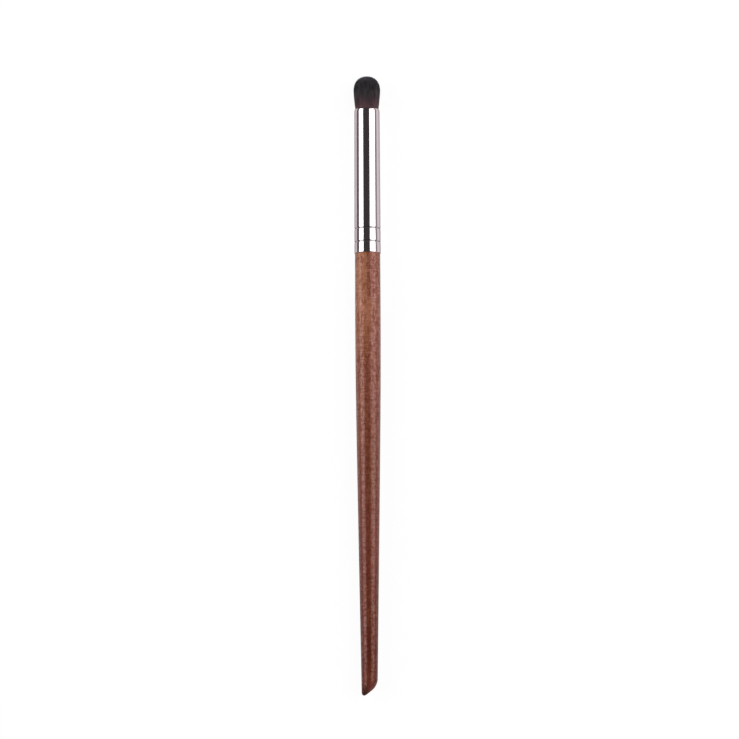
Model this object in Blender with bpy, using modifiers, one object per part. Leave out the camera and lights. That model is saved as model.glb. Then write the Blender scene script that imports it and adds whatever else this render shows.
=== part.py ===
# Makeup brush with a round domed tuft, for eye shadow.
#
# A turned, lacquered wooden handle has a tenon that is glued and crimped into a plated metal
# ferrule. The ferrule's mouth holds the hair: its roots are bound with thread and set in resin.
#
# Every piece is made about one shared axis, local Z. Z is zero at the seam where the ferrule meets
# the handle's shoulder, and +Z runs to the bristles. An empty then lays the whole brush down on a
# level surface, with its bristles towards +Y. Lengths are in metres.

from math import atan, cos, pi, radians, sin

import bmesh
import bpy
from mathutils import Matrix, Vector
from mathutils.geometry import interpolate_bezier

# Ferrule: a slightly conical tube, rolled in at its mouth and pressed in by two crimp rings
FERRULE_LENGTH = 0.0431
FERRULE_BASE_RADIUS = 0.0039
FERRULE_MOUTH_RADIUS = 0.00374
FERRULE_WALL = 0.0003
LIP_LENGTH = 0.0008
LIP_DRAW = 0.00014
UPPER_CRIMP_HEIGHT = 0.0073
LOWER_CRIMP_HEIGHT = 0.0033
CRIMP_WIDTH = 0.0007
CRIMP_DEPTH = 0.00012

# Handle: a shoulder a little smaller than the ferrule, a faint swell and a long taper
FERRULE_STEP = 0.00015
HANDLE_LENGTH = 0.13245
HANDLE_SWELL = 0.0001
HANDLE_END_RADIUS = 0.00232
SWELL_SHARE = 0.28
SEAM_GAP = 0.0001
SHOULDER_ROUND = 0.00012
END_SLANT = radians(39)
END_ROUND = 0.0018
END_OVERRUN = 0.002

# Tenon inside the ferrule, and the film of glue round it
TENON_LENGTH = 0.016
TENON_CHAMFER = 0.0006
GLUE_FILM = 0.00015
FIT_GAP = 0.00005

# Bristles: a fan of strands from a slice of their backing, up to a belly and a domed top
TUFT_HEIGHT = 0.0101
BELLY_HEIGHT = 0.0058
BELLY_RADIUS = 0.00396
DOME_POWER = 2.25
STRAND_RINGS = 8
STRAND_GAP = 0.00004
STRAND_POINT_SHARE = 0.2
STRAND_TAPER_SHARE = 0.96
LATTICE_TURN = radians(11)
SLICE_DEPTH = 0.001
SLICE_THICKNESS = 0.0008
SLICE_CHAMFER = 0.0003

# Resin plug round the roots, with a waist where the thread binds them
PLUG_LENGTH = 0.0105
PLUG_CHAMFER = 0.0004
WAIST_MARGIN = 0.0006
THREAD_DIAMETER = 0.00034
THREAD_PITCH = 0.0008
THREAD_TURNS = 3
THREAD_CLEARANCE = 0.0001

# Facets round the turned pieces, and points along curves
SIDES = 32
SIDE_POINTS = 14
CRIMP_POINTS = 5
LIP_POINTS = 4
END_ROUND_POINTS = 4
THREAD_POINTS = 16
MERGE_DISTANCE = 0.000001

# A faceted round's flats lie this share of its radius from its axis
FLAT_SHARE = cos(pi / SIDES)


def clear_scene():
    """Remove every object that the file starts with."""
    for thing in list(bpy.data.objects):
        bpy.data.objects.remove(thing, do_unlink=True)


def make_material(name, colour, roughness, metallic):
    """One Principled material."""
    material = bpy.data.materials.new(name)
    material.use_nodes = True
    shader = material.node_tree.nodes["Principled BSDF"]
    shader.inputs["Base Color"].default_value = (*colour, 1)
    shader.inputs["Roughness"].default_value = roughness
    shader.inputs["Metallic"].default_value = metallic
    material.diffuse_color = (*colour, 1)
    return material


def add_piece(name, mesh, material, collection):
    """Put a finished mesh in the collection as one named piece."""
    mesh.name = name
    mesh.shade_smooth()
    mesh.set_sharp_from_angle(angle=radians(40))
    mesh.materials.clear()
    mesh.materials.append(material)
    piece = bpy.data.objects.new(name, mesh)
    collection.objects.link(piece)
    return piece


def evaluated_mesh(thing):
    """The mesh that an object's modifiers or curve settings give; the object is removed."""
    bpy.context.scene.collection.objects.link(thing)
    graph = bpy.context.evaluated_depsgraph_get()
    mesh = bpy.data.meshes.new_from_object(thing.evaluated_get(graph))
    bpy.data.objects.remove(thing)
    return mesh


def turned_mesh(profile, wall=0):
    """Turn a profile of (radius, height) points about Z; a wall makes it a shell, inwards.

    The profile runs down its outer side, from top to bottom. The mesh is turned by half a facet,
    so that it lies on a flat and not on an edge.
    """
    line = bpy.data.meshes.new("profile")
    points = [(radius, 0, height) for radius, height in profile]
    line.from_pydata(points, [(i, i + 1) for i in range(len(points) - 1)], [])
    blank = bpy.data.objects.new("profile", line)
    screw = blank.modifiers.new("turn", "SCREW")
    screw.axis = "Z"
    screw.steps = SIDES
    screw.render_steps = SIDES
    screw.use_merge_vertices = True
    screw.merge_threshold = MERGE_DISTANCE
    if wall:
        shell = blank.modifiers.new("wall", "SOLIDIFY")
        shell.thickness = wall
        shell.offset = -1
        shell.use_even_offset = True
    mesh = evaluated_mesh(blank)
    mesh.transform(Matrix.Rotation(pi / SIDES, 4, "Z"))
    return mesh


def crimp_dip(height):
    """How far the crimp rings press the ferrule in at this height."""
    dip = 0
    for ring in (UPPER_CRIMP_HEIGHT, LOWER_CRIMP_HEIGHT):
        reach = (height - ring) / (CRIMP_WIDTH / 2)
        if abs(reach) < 1:
            dip += CRIMP_DEPTH * (1 + cos(pi * reach)) / 2
    return dip


def crimp_heights():
    """Heights across both crimp rings, from the upper ring down."""
    steps = [1 - 2 * i / (CRIMP_POINTS - 1) for i in range(CRIMP_POINTS)]
    rings = (UPPER_CRIMP_HEIGHT, LOWER_CRIMP_HEIGHT)
    return [ring + step * CRIMP_WIDTH / 2 for ring in rings for step in steps]


def ferrule_radius(height):
    """Outer radius of the ferrule below its lip."""
    share = height / FERRULE_LENGTH
    cone = FERRULE_BASE_RADIUS + (FERRULE_MOUTH_RADIUS - FERRULE_BASE_RADIUS) * share
    return cone - crimp_dip(height)


def bore_radius(height):
    """Inner radius of the ferrule below its lip."""
    return ferrule_radius(height) - FERRULE_WALL


def lip_sweep():
    """Angle that the lip's arc turns through, from straight along the tube to its rim."""
    return 2 * atan(LIP_DRAW / LIP_LENGTH)


def lip_profile():
    """The lip's arc, from its rim down to where it runs into the tube's side."""
    arc_radius = LIP_LENGTH / sin(lip_sweep())
    foot = FERRULE_LENGTH - LIP_LENGTH
    points = []
    for i in range(LIP_POINTS + 1):
        angle = lip_sweep() * (1 - i / LIP_POINTS)
        radius = ferrule_radius(foot) - arc_radius * (1 - cos(angle))
        points.append((radius, foot + arc_radius * sin(angle)))
    return points


def lip_bore_radius():
    """Inner radius at the rim of the lip, the narrowest place that the bristles pass."""
    rim_radius = lip_profile()[0][0]
    return rim_radius - FERRULE_WALL * cos(lip_sweep())


def make_ferrule(material, collection):
    """The plated tube: lip, plain side and two crimp rings."""
    profile = lip_profile()
    profile += [(ferrule_radius(height), height) for height in crimp_heights()]
    profile.append((ferrule_radius(0), 0))
    mesh = turned_mesh(profile, FERRULE_WALL)
    return add_piece("ferrule", mesh, material, collection)


def tenon_radius(height):
    """Radius of the tenon, one glue film and two gaps inside the ferrule's bore."""
    return bore_radius(height) - GLUE_FILM - 2 * FIT_GAP


def handle_side():
    """The handle's side below the shoulder, as (radius, height) points from the top down."""
    shoulder_radius = FERRULE_BASE_RADIUS - FERRULE_STEP
    start = Vector((shoulder_radius, -SEAM_GAP - SHOULDER_ROUND))
    swell = Vector((shoulder_radius + HANDLE_SWELL, -HANDLE_LENGTH * SWELL_SHARE))
    end = Vector((HANDLE_END_RADIUS, -HANDLE_LENGTH))
    curve = interpolate_bezier(start, swell, swell, end, SIDE_POINTS)
    return [(point.x, point.y) for point in curve]


def cut_slanted_end(mesh):
    """Cut the handle's end on a slant and round the cut's edge; the cut faces +X and down."""
    work = bmesh.new()
    work.from_mesh(mesh)
    outward = Vector((sin(END_SLANT), 0, -cos(END_SLANT)))
    nose = Vector((-HANDLE_END_RADIUS, 0, -HANDLE_LENGTH))
    cut = bmesh.ops.bisect_plane(
        work,
        geom=list(work.verts) + list(work.edges) + list(work.faces),
        dist=MERGE_DISTANCE,
        plane_co=nose,
        plane_no=outward,
        clear_outer=True,
    )
    rim = [part for part in cut["geom_cut"] if isinstance(part, bmesh.types.BMEdge)]
    bmesh.ops.edgeloop_fill(work, edges=rim)
    bmesh.ops.bevel(
        work,
        geom=rim,
        offset=END_ROUND,
        segments=END_ROUND_POINTS,
        profile=0.5,
        affect="EDGES",
        clamp_overlap=True,
    )
    bmesh.ops.recalc_face_normals(work, faces=work.faces)
    work.to_mesh(mesh)
    work.free()


def make_handle(material, collection):
    """The turned handle: grooved tenon, shoulder, long side and slanted end."""
    chamfer_height = TENON_LENGTH - TENON_CHAMFER
    end_height = -HANDLE_LENGTH - END_OVERRUN
    side = handle_side()
    profile = [(0, TENON_LENGTH), (tenon_radius(TENON_LENGTH) - TENON_CHAMFER, TENON_LENGTH)]
    profile.append((tenon_radius(chamfer_height), chamfer_height))
    profile += [(tenon_radius(height), height) for height in crimp_heights()]
    profile.append((tenon_radius(0), -SEAM_GAP))
    profile.append((side[0][0] - SHOULDER_ROUND, -SEAM_GAP))
    profile += side
    profile += [(HANDLE_END_RADIUS, end_height), (0, end_height)]
    mesh = turned_mesh(profile)
    cut_slanted_end(mesh)
    return add_piece("handle", mesh, material, collection)


def make_glue(material, collection):
    """The cured film of glue between the tenon and the ferrule, above the crimp rings."""
    top = TENON_LENGTH - TENON_CHAMFER
    bottom = UPPER_CRIMP_HEIGHT + CRIMP_WIDTH
    profile = [(bore_radius(height) - FIT_GAP, height) for height in (top, bottom)]
    mesh = turned_mesh(profile, GLUE_FILM)
    return add_piece("tenon_glue", mesh, material, collection)


def strand_reach(lift):
    """Radius of the fan of strands at a height above the mouth; above the belly it stays."""
    mouth_radius = lip_bore_radius() * FLAT_SHARE - FIT_GAP
    share = min(lift / BELLY_HEIGHT, 1)
    return mouth_radius + (BELLY_RADIUS - mouth_radius) * share


def dome_lift(share):
    """Height of the dome above the mouth, at this share of the belly's radius."""
    rise_share = (1 - min(share, 1) ** DOME_POWER) ** (1 / DOME_POWER)
    return BELLY_HEIGHT + (TUFT_HEIGHT - BELLY_HEIGHT) * rise_share


def point_lift(share):
    """Height above the mouth where a strand starts to come to its point."""
    return dome_lift(share) - (dome_lift(share) - BELLY_HEIGHT) * STRAND_POINT_SHARE


def strand_disc():
    """A disc of triangles, one to each strand.

    A hexagon is divided into rings of triangles, and each ring of points is then moved out onto
    its own circle.
    """
    work = bmesh.new()
    bmesh.ops.create_circle(work, cap_ends=True, cap_tris=True, segments=6, radius=1)
    bmesh.ops.subdivide_edges(work, edges=list(work.edges), cuts=STRAND_RINGS - 1, use_grid_fill=True)
    reach = strand_reach(-SLICE_DEPTH)
    side_angles = [pi / 3 * i for i in range(6)]
    for point in work.verts:
        ring_share = max(point.co.x * cos(a) + point.co.y * sin(a) for a in side_angles) / cos(pi / 6)
        if point.co.length > 0:
            point.co *= ring_share * reach / point.co.length
        point.co.z = FERRULE_LENGTH - SLICE_DEPTH
    bmesh.ops.rotate(work, verts=list(work.verts), matrix=Matrix.Rotation(LATTICE_TURN, 3, "Z"))
    return work


def rim_share(place):
    """Distance from the axis, as a share of the fan's radius at that height."""
    return place.xy.length / strand_reach(place.z - FERRULE_LENGTH)


def grow_strands(work, cells, next_lift):
    """Extrude each cell by itself, outwards along the fan of strands, to its next height."""
    cells = bmesh.ops.extrude_discrete_faces(work, faces=cells)["faces"]
    for cell in cells:
        centre = cell.calc_center_median()
        lift = next_lift(rim_share(centre))
        spread_share = strand_reach(lift) / strand_reach(centre.z - FERRULE_LENGTH)
        for point in cell.verts:
            offset = (point.co - centre) * spread_share * STRAND_TAPER_SHARE
            point.co.xy = centre.xy * spread_share + offset.xy
            point.co.z = FERRULE_LENGTH + lift
    return cells


def point_strands(work, cells):
    """End each strand in a point on the dome."""
    tips = bmesh.ops.poke(work, faces=cells)["verts"]
    for tip in tips:
        tip.co.z = FERRULE_LENGTH + dome_lift(rim_share(tip.co))


def sink_rim(work, rim, radius, drop):
    """Carry the disc's rim out to a radius and down by a drop; the new rim comes back."""
    grown = bmesh.ops.extrude_edge_only(work, edges=rim)["geom"]
    for point in [part for part in grown if isinstance(part, bmesh.types.BMVert)]:
        point.co.xy *= radius / point.co.xy.length
        point.co.z -= drop
    return [part for part in grown if isinstance(part, bmesh.types.BMEdge) and part.is_boundary]


def slice_bottom():
    """Height of the underside of the slice that the strands are fused to."""
    return FERRULE_LENGTH - SLICE_DEPTH - SLICE_CHAMFER - SLICE_THICKNESS


def make_tuft(material, collection):
    """The bristles: one strand on each cell of the disc, fused to a slice of their backing."""
    work = strand_disc()
    cells = list(work.faces)
    print("strands:", len(cells))
    rim = [edge for edge in work.edges if edge.is_boundary]
    slice_radius = bore_radius(slice_bottom()) * FLAT_SHARE - FIT_GAP
    rim = sink_rim(work, rim, slice_radius, SLICE_CHAMFER)
    rim = sink_rim(work, rim, slice_radius, SLICE_THICKNESS)
    bmesh.ops.edgeloop_fill(work, edges=rim)
    bmesh.ops.inset_individual(work, faces=cells, thickness=STRAND_GAP / 2, use_even_offset=True)
    cells = grow_strands(work, cells, lambda share: BELLY_HEIGHT)
    cells = grow_strands(work, cells, point_lift)
    point_strands(work, cells)
    bmesh.ops.recalc_face_normals(work, faces=work.faces)
    mesh = bpy.data.meshes.new("bristle_tuft")
    work.to_mesh(mesh)
    work.free()
    return add_piece("bristle_tuft", mesh, material, collection)


def plug_radius(height):
    """Radius of the resin plug, one gap inside the ferrule's bore."""
    return bore_radius(height) - FIT_GAP


def plug_top():
    """Height of the plug's top, one gap under the bristles' slice."""
    return slice_bottom() - FIT_GAP


def plug_middle():
    """Height of the middle of the plug, where the waist is."""
    return plug_top() - PLUG_LENGTH / 2


def waist_radius():
    """Radius of the waist, deep enough for the thread to lie just inside the plug's side."""
    return plug_radius(plug_middle()) - THREAD_DIAMETER - 2 * THREAD_CLEARANCE


def make_plug(material, collection):
    """The roots in resin, drawn in at the waist where the thread binds them."""
    top = plug_top()
    bottom = top - PLUG_LENGTH
    half_floor = (THREAD_TURNS * THREAD_PITCH + THREAD_DIAMETER) / 2 + THREAD_CLEARANCE
    half_waist = half_floor + WAIST_MARGIN
    profile = [(0, top), (plug_radius(top) - PLUG_CHAMFER, top)]
    profile.append((plug_radius(top - PLUG_CHAMFER), top - PLUG_CHAMFER))
    profile.append((plug_radius(plug_middle() + half_waist), plug_middle() + half_waist))
    profile.append((waist_radius(), plug_middle() + half_floor))
    profile.append((waist_radius(), plug_middle() - half_floor))
    profile.append((plug_radius(plug_middle() - half_waist), plug_middle() - half_waist))
    profile.append((plug_radius(bottom + PLUG_CHAMFER), bottom + PLUG_CHAMFER))
    profile += [(plug_radius(bottom) - PLUG_CHAMFER, bottom), (0, bottom)]
    return add_piece("root_plug", turned_mesh(profile), material, collection)


def thread_points():
    """Points along the thread's turns, from the lower end of the waist up."""
    radius = waist_radius() + THREAD_CLEARANCE + THREAD_DIAMETER / 2
    points = []
    for i in range(THREAD_TURNS * THREAD_POINTS + 1):
        turn = i / THREAD_POINTS
        angle = 2 * pi * turn
        height = plug_middle() + THREAD_PITCH * (turn - THREAD_TURNS / 2)
        points.append(Vector((radius * cos(angle), radius * sin(angle), height)))
    return points


def print_thread_gap(points):
    """Measure the least gap between the thread's turns, on its points."""
    half_turn = THREAD_POINTS // 2
    least = min(
        (first - second).length
        for i, first in enumerate(points)
        for second in points[i + half_turn:]
    )
    print("least gap between the thread's turns, in mm:", round((least - THREAD_DIAMETER) * 1000, 3))


def make_binding(material, collection):
    """The thread wound round the roots, one unbroken tube."""
    points = thread_points()
    print_thread_gap(points)
    curve = bpy.data.curves.new("thread", "CURVE")
    curve.dimensions = "3D"
    curve.bevel_depth = THREAD_DIAMETER / 2
    curve.bevel_resolution = 1
    curve.use_fill_caps = True
    line = curve.splines.new("POLY")
    line.points.add(len(points) - 1)
    for place, point in zip(line.points, points):
        place.co = (*point, 1)
    mesh = evaluated_mesh(bpy.data.objects.new("thread", curve))
    work = bmesh.new()
    work.from_mesh(mesh)
    bmesh.ops.remove_doubles(work, verts=work.verts, dist=MERGE_DISTANCE)
    bmesh.ops.recalc_face_normals(work, faces=work.faces)
    work.to_mesh(mesh)
    work.free()
    return add_piece("root_binding", mesh, material, collection)


def resting_tilt():
    """Angle of the axis when the brush lies on the ferrule's edge and the handle's swell."""
    falls = [(FERRULE_BASE_RADIUS - radius) / -height for radius, height in handle_side()[1:]]
    return atan(min(falls) * FLAT_SHARE)


def lay_down(pieces, collection):
    """Lay the brush on the level plane at Z = 0, centred over the origin."""
    axis = bpy.data.objects.new("brush_axis", None)
    collection.objects.link(axis)
    axis.rotation_euler.x = resting_tilt() - pi / 2
    for piece in pieces:
        piece.parent = axis
    bpy.context.view_layer.update()
    points = [piece.matrix_world @ point.co for piece in pieces for point in piece.data.vertices]
    middle_x = (min(p.x for p in points) + max(p.x for p in points)) / 2
    middle_y = (min(p.y for p in points) + max(p.y for p in points)) / 2
    axis.location = (-middle_x, -middle_y, -min(p.z for p in points))
    bpy.context.view_layer.update()


def main():
    clear_scene()
    collection = bpy.data.collections.new("makeup_brush")
    bpy.context.scene.collection.children.link(collection)
    lacquer = make_material("lacquered_wood", (0.19, 0.075, 0.045), 0.28, 0)
    nickel = make_material("nickel_plate", (0.75, 0.72, 0.71), 0.12, 1)
    hair = make_material("hair", (0.028, 0.024, 0.026), 0.6, 0)
    resin = make_material("resin", (0.45, 0.28, 0.09), 0.3, 0)
    cotton = make_material("cotton_thread", (0.62, 0.57, 0.47), 0.8, 0)
    glue = make_material("glue", (0.6, 0.52, 0.36), 0.4, 0)
    pieces = [
        make_handle(lacquer, collection),
        make_ferrule(nickel, collection),
        make_tuft(hair, collection),
        make_plug(resin, collection),
        make_binding(cotton, collection),
        make_glue(glue, collection),
    ]
    lay_down(pieces, collection)


main()
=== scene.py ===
# %% [markdown]
# # A makeup brush on a white table
#
# The brush has three pieces that show: a turned and lacquered wooden handle, a bright plated
# ferrule with two crimp rings, and a domed tuft of soft hair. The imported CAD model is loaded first
# and stays as it is. It says where each piece lies, so nothing here is placed by eye.

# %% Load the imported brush
from math import atan, cos, degrees, pi, radians, sin, tan

import bpy
import numpy as np
from mathutils import Matrix, Vector
from mathutils.geometry import interpolate_bezier


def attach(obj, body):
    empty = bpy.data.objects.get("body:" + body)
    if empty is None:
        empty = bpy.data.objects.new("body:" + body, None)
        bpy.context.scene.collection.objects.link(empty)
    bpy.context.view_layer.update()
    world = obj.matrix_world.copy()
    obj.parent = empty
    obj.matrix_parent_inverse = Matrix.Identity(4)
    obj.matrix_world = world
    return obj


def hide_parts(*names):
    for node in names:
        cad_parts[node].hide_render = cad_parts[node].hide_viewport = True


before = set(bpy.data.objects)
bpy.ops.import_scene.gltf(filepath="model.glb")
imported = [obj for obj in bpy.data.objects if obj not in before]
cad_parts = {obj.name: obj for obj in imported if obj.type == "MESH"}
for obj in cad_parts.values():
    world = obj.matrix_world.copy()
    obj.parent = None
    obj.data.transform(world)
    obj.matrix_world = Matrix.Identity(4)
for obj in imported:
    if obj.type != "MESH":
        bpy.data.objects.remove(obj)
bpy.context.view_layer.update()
print("nodes:", sorted(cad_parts))

# %% [markdown]
# ## The line of the brush
#
# The brush lies with its ferrule's edge and the swell of its handle on the table, so its axis
# isn't quite level. The tilt could be worked out again from the sizes. Measuring the two end rings
# of the CAD ferrule is safer: the middle of a ring's corners is on the axis, whatever the tilt is.

# %% Measure the axis on the ferrule's two end rings
RING_REACH = 0.00006
CORNER_DIGITS = 6


def in_mm(length):
    """A length in millimetres, rounded for printing."""
    return round(length * 1000, 3)


corners = [list(corner.co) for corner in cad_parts["ferrule"].data.vertices]
corners = np.unique(np.round(corners, CORNER_DIGITS), axis=0)
base_ring = corners[corners[:, 1] < corners[:, 1].min() + RING_REACH]
mouth_ring = corners[corners[:, 1] > corners[:, 1].max() - RING_REACH]
seam = Vector(base_ring.mean(axis=0))
brush_line = Vector(mouth_ring.mean(axis=0)) - seam
FERRULE_LENGTH = brush_line.length
tilt = atan(brush_line.z / brush_line.y)
print("seam at", [in_mm(v) for v in seam], "mm, tilt", round(degrees(tilt), 3), "degrees")
print("ferrule length", in_mm(FERRULE_LENGTH), "mm")

# %% [markdown]
# Each new piece is turned about the Z axis, as on a lathe, with Z = 0 at the seam between ferrule
# and handle. A piece could be turned about the tilted axis itself, but its outline is easier to
# write upright. So a helper then lays it down on the brush's own line and applies its place, and
# the finished object sits at the origin.

# %% Helpers that choose a piece and lay it down
lay_down = Matrix.Translation(seam) @ Matrix.Rotation(tilt - pi / 2, 4, "X")


def start_afresh():
    """Leave edit mode and deselect everything, so the next operator acts on its piece alone."""
    if bpy.context.object and bpy.context.object.mode != "OBJECT":
        bpy.ops.object.mode_set(mode="OBJECT")
    bpy.ops.object.select_all(action="DESELECT")


def choose(piece):
    """Make one piece the only selected one, and the active one."""
    start_afresh()
    piece.select_set(True)
    bpy.context.view_layer.objects.active = piece


def lay_on_line(piece):
    """Lay a turned piece on the brush's line, with its place in its mesh."""
    choose(piece)
    bpy.ops.object.transform_apply(location=True, rotation=True, scale=True)
    piece.matrix_world = lay_down
    bpy.ops.object.transform_apply(location=True, rotation=True, scale=True)


# %% [markdown]
# ## The camera
#
# The photograph looks almost straight down on the brush, from slightly towards the end of its
# handle: the crimp rings and the seam show as very flat arcs. A long lens keeps the two edges of
# the handle as straight as they are there. One pixel of the 739 x 739 picture is 0.295 mm here.

# %% Place the camera
IMAGE_SIDE = 739
PIXEL = 0.0002947
LENS = 600
SENSOR = 36
VIEW_ELEVATION = radians(80.5)
VIEW_ROLL = radians(0.27)
TARGET = Vector((0.00040, 0.00450, 0.0038))

camera_data = bpy.data.cameras.new("camera")
camera_data.lens = LENS
camera_data.sensor_width = SENSOR
camera = bpy.data.objects.new("camera", camera_data)
bpy.context.scene.collection.objects.link(camera)
distance = IMAGE_SIDE * PIXEL * LENS / SENSOR
turn_down = Matrix.Rotation(pi / 2 - VIEW_ELEVATION, 4, "X")
roll = Matrix.Rotation(-VIEW_ROLL, 4, "Z")
step_back = Matrix.Translation((0, 0, distance))
camera.matrix_world = Matrix.Translation(TARGET) @ turn_down @ roll @ step_back
bpy.context.scene.camera = camera
bpy.context.scene.view_settings.view_transform = "Standard"
print("camera distance", round(distance, 3), "m")

# %% [markdown]
# ## The light
#
# The bright ferrule is a mirror, so it shows how the brush was lit: two long soft boxes, one along
# each side, with a dark gap overhead and a thin dark strip low down on both sides. Lamps could be
# placed by trial, but each edge of a reflection on a round tube gives a direction. A point that is
# seen at a share of the tube's radius reflects what lies at twice that share's angle. The left box
# is a little stronger than the right one, which keeps the two sides of the wood from looking alike.

# %% Two long soft boxes beside the brush
BOX_DISTANCE = 0.6
BOX_LENGTH = 0.8
BOX_MIDDLE = 0.12
LEFT_RADIANCE = 2.0
RIGHT_RADIANCE = 1.7
LEFT_BOX = (radians(-85), radians(-37.4))
RIGHT_BOX = (radians(21.2), radians(81))


def add_soft_box(name, radiance, first, last):
    """A long panel that fills the directions between two angles from straight up."""
    middle = (first + last) / 2
    lamp = bpy.data.lights.new(name, "AREA")
    lamp.shape = "RECTANGLE"
    lamp.size = 2 * BOX_DISTANCE * tan((last - first) / 2)
    lamp.size_y = BOX_LENGTH
    lamp.energy = radiance * pi * lamp.size * lamp.size_y
    panel = bpy.data.objects.new(name, lamp)
    bpy.context.scene.collection.objects.link(panel)
    place = Vector((sin(middle), 0, cos(middle))) * BOX_DISTANCE + Vector((0, BOX_MIDDLE, 0))
    panel.matrix_world = Matrix.Translation(place) @ Matrix.Rotation(middle, 4, "Y")
    panel.visible_camera = False
    print(name, "width", round(lamp.size, 3), "m, power", round(lamp.energy, 2), "W")


add_soft_box("left_soft_box", LEFT_RADIANCE, *LEFT_BOX)
add_soft_box("right_soft_box", RIGHT_RADIANCE, *RIGHT_BOX)

# %% [markdown]
# ## Shader maths in plain Python
#
# A material in Blender is a graph of nodes. Wiring it by hand takes many lines, so a small class
# wraps one output socket. Python's own operators then add the Math nodes, and one method adds any
# other node.

# %% A class that wraps a socket
class Strand:
    """One value in a node tree. Sums and products of strands add Math nodes."""

    def __init__(self, tree, socket=None):
        self.tree = tree
        self.socket = socket

    def node(self, kind, settings=None, sockets=None, output=0):
        """Add a node: its settings or a ramp's stops, then its sockets' values or links."""
        made = self.tree.nodes.new(kind)
        for name, value in (settings or {}).items():
            if name == "stops":
                stops = made.color_ramp.elements
                while len(stops) < len(value):
                    stops.new(1)
                for stop, (place, colour) in zip(stops, value):
                    stop.position = place
                    stop.color = (*colour, 1)
            else:
                setattr(made, name, value)
        for name, value in (sockets or {}).items():
            if isinstance(value, Strand):
                self.tree.links.new(value.socket, made.inputs[name])
            else:
                made.inputs[name].default_value = value
        return Strand(self.tree, made.outputs[output])

    def maths(self, operation, first, second):
        return self.node("ShaderNodeMath", {"operation": operation}, {0: first, 1: second})

    def __add__(self, other):
        return self.maths("ADD", self, other)

    def __sub__(self, other):
        return self.maths("SUBTRACT", self, other)

    def __rsub__(self, other):
        return self.maths("SUBTRACT", other, self)

    def __mul__(self, other):
        return self.maths("MULTIPLY", self, other)

    def __truediv__(self, other):
        return self.maths("DIVIDE", self, other)


# %% [markdown]
# Patterns are made from the object's own coordinates, in metres, with Y along the brush. A texture
# could also be unwrapped and painted, but a pattern in space has no seams, and runs on round to
# the side that the camera doesn't see.

# %% Helpers for places and patterns
def place_of(strand, scale=(1, 1, 1)):
    """The object's own coordinates in metres, scaled: a larger scale gives a finer pattern."""
    place = strand.node("ShaderNodeTexCoord", output="Object")
    return strand.node("ShaderNodeMapping", None, {"Vector": place, "Scale": scale})


def axes_of(strand):
    """The object's own X, Y and Z in metres, as three strands."""
    first = strand.node("ShaderNodeSeparateXYZ", None, {0: place_of(strand)})
    return [Strand(strand.tree, socket) for socket in first.socket.node.outputs]


def noise(strand, scale, detail=2.0, roughness=0.5):
    """A cloudy value around one half, with its own scale along X, Y and Z."""
    place = place_of(strand, scale)
    sockets = {"Vector": place, "Scale": 1.0, "Detail": detail, "Roughness": roughness}
    return strand.node("ShaderNodeTexNoise", None, sockets)


def steps(strand, value, low, high):
    """Zero below low, one above high, with a smooth rise between them."""
    sockets = {"Value": value, "From Min": low, "From Max": high}
    return strand.node("ShaderNodeMapRange", {"interpolation_type": "SMOOTHSTEP"}, sockets)


def band(strand, value, middle, core, reach):
    """One within the core on both sides of the middle, zero past the reach."""
    away = strand.node("ShaderNodeMath", {"operation": "ABSOLUTE"}, {0: value - middle})
    return 1 - steps(strand, away, core, reach)


# %% Helpers for colours, bumps and whole materials
def new_material(name):
    """An empty material: itself, its Principled shader and a first strand to build from."""
    material = bpy.data.materials.new(name)
    material.use_nodes = True
    shader = material.node_tree.nodes["Principled BSDF"]
    return material, shader, Strand(material.node_tree)


def mix_colours(strand, factor, first, second, blend="MIX"):
    """Mix two colours by a factor, or blend the second over the first."""
    first = first if isinstance(first, Strand) else (*first, 1)
    second = second if isinstance(second, Strand) else (*second, 1)
    settings = {"data_type": "RGBA", "blend_type": blend}
    return strand.node("ShaderNodeMix", settings, {0: factor, 6: first, 7: second}, output=2)


def feed(shader, name, strand):
    """Link a strand to one of the shader's sockets."""
    strand.tree.links.new(strand.socket, shader.inputs[name])


def add_bump(shader, height, strength, distance):
    """Let a pattern of heights tilt the light on a shader's surface."""
    sockets = {"Strength": strength, "Distance": distance, "Height": height}
    feed(shader, "Normal", height.node("ShaderNodeBump", None, sockets))


def give(piece, material):
    """Put one material on a piece, in place of what it had."""
    piece.data.materials.clear()
    piece.data.materials.append(material)
    print(piece.name, "has", material.name, "of", len(material.node_tree.nodes), "nodes")


# %% [markdown]
# ## The table, the room and the dark cards
#
# The picture's background is pure white. More light would give that too, but it would also bleach
# the brush. So the floor adds white for camera rays, and less of it for glossy and transmission
# rays, which keeps it pale in the ferrule too. The part that still takes light keeps a faint
# shadow.

# %% A white floor that keeps a faint shadow
FLOOR_SIDE = 30
FLOOR_GLOW = 1.05
FLOOR_WHITE_SHARE = 0.9
REFLECTED_WHITE_SHARE = 0.3
PAPER_WHITE = (0.92, 0.92, 0.92, 1)
PAPER_ROUGHNESS = 0.9


def white_rays(strand):
    """One for camera, glossy and transmission rays, zero for the rest."""
    kinds = ("Is Camera Ray", "Is Glossy Ray", "Is Transmission Ray")
    rays = [strand.node("ShaderNodeLightPath", output=kind) for kind in kinds]
    return strand.maths("MINIMUM", rays[0] + rays[1] + rays[2], 1.0)


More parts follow.
